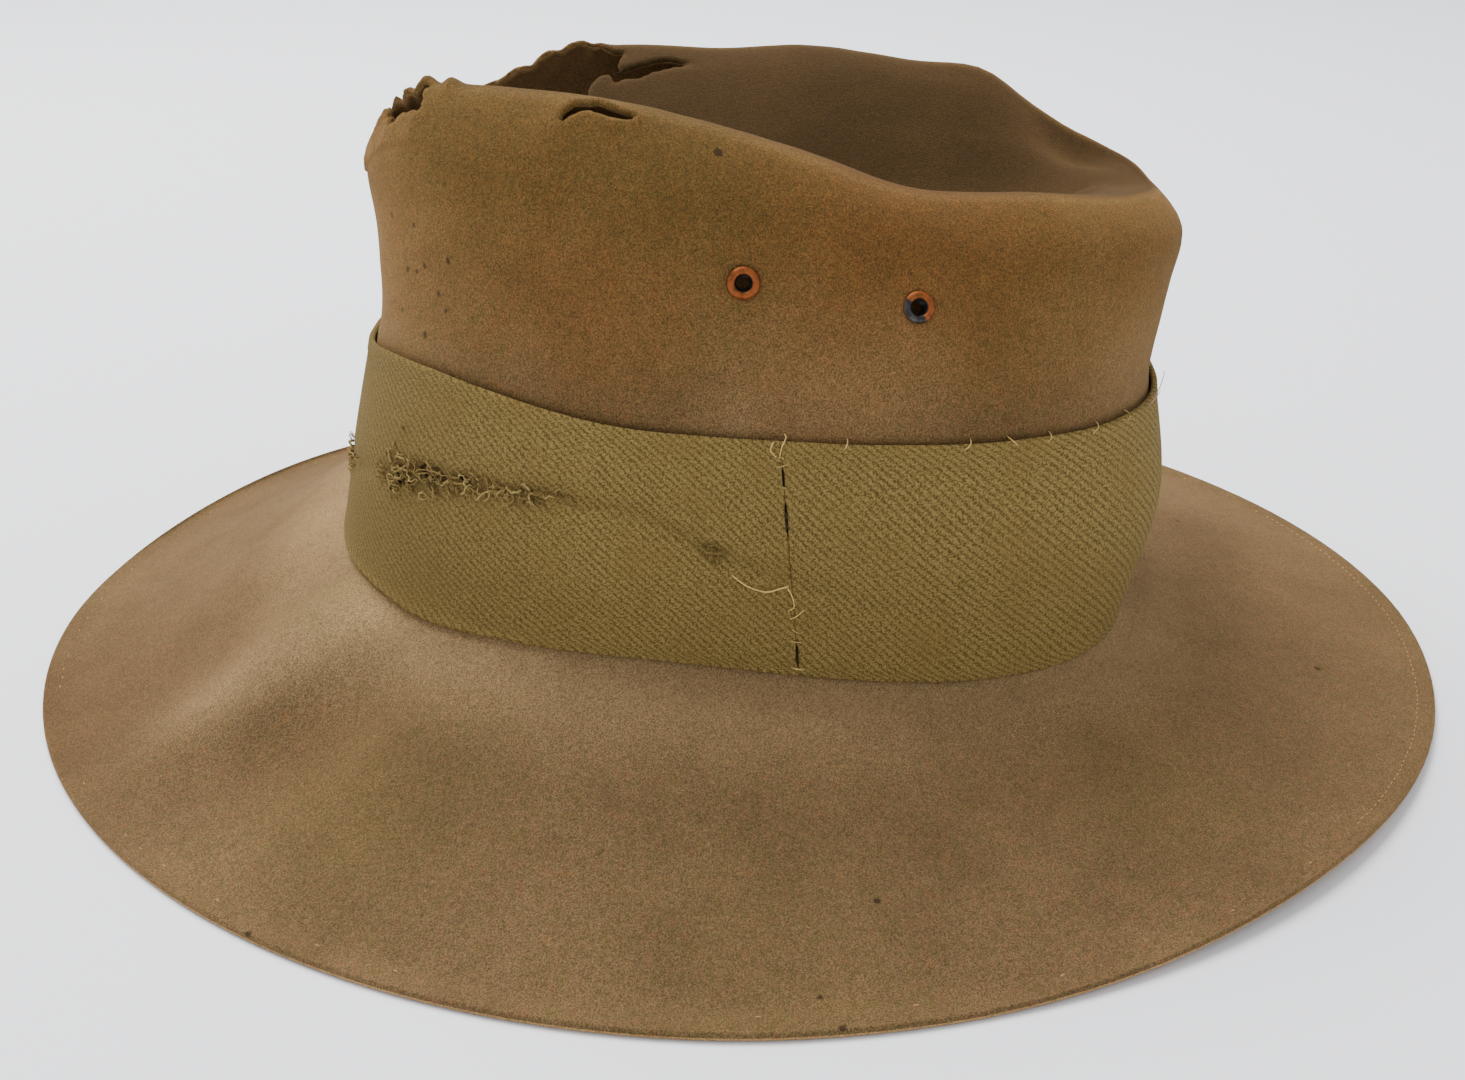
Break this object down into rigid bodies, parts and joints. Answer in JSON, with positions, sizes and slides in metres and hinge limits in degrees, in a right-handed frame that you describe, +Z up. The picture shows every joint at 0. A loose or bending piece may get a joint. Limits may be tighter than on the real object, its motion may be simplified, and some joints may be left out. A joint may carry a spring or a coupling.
{
  "type": "slouch hat",
  "caption": "Worn felt slouch hat resting on its brim: pinched crown with a lengthwise dent and torn front, a twill cloth band with a stitched seam, and metal eyelets in the sides.",
  "frame": {"origin": "middle of the brim's outline, on the surface that the brim rests on", "axes": "+Z up, -Y towards the hat's front, +X towards the wearer's left"},
  "size_m": [0.331, 0.36, 0.1503],
  "materials": {
    "felt": "napped fur felt, khaki brown",
    "twill": "coarse wool twill, olive khaki",
    "copper": "tarnished copper, satin"
  },
  "bodies": {
    "root": {"felt_body": "felt", "puggaree": "twill", "eyelet_left_front": "copper", "eyelet_left_back": "copper", "eyelet_right_front": "copper", "eyelet_right_back": "copper"}
  },
  "joints": []
}
